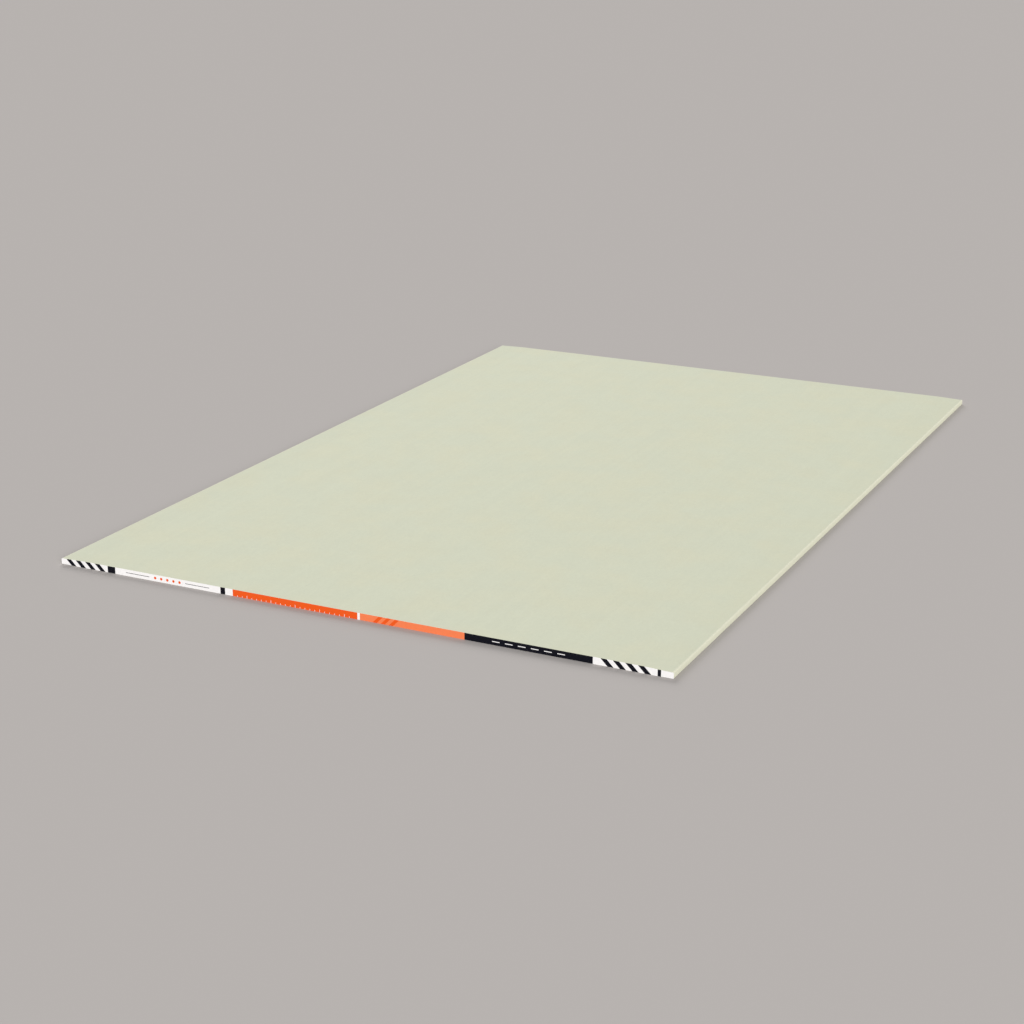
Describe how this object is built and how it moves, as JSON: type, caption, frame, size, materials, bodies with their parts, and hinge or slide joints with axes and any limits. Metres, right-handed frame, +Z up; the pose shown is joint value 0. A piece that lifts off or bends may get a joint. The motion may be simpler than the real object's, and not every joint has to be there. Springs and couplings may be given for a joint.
{
  "type": "drywall sheet",
  "caption": "Flat rectangular gypsum board sheet with tapered long edges, square-cut ends and a printed paper tape on one end.",
  "frame": {"origin": "middle of the back of the board, on the surface that the sheet lies on", "axes": "+X across the sheet, +Y along its length and away from the taped end, +Z up, out of the face"},
  "size_m": [1.22, 1.8302, 0.0125],
  "materials": {
    "face_paper": "matt sage-cream lining paper over a white gypsum core",
    "end_print": "printed paper tape in white, near-black and orange, with a slight sheen"
  },
  "bodies": {
    "root": {"gypsum_board": "face_paper", "end_tape": "end_print"}
  },
  "joints": []
}
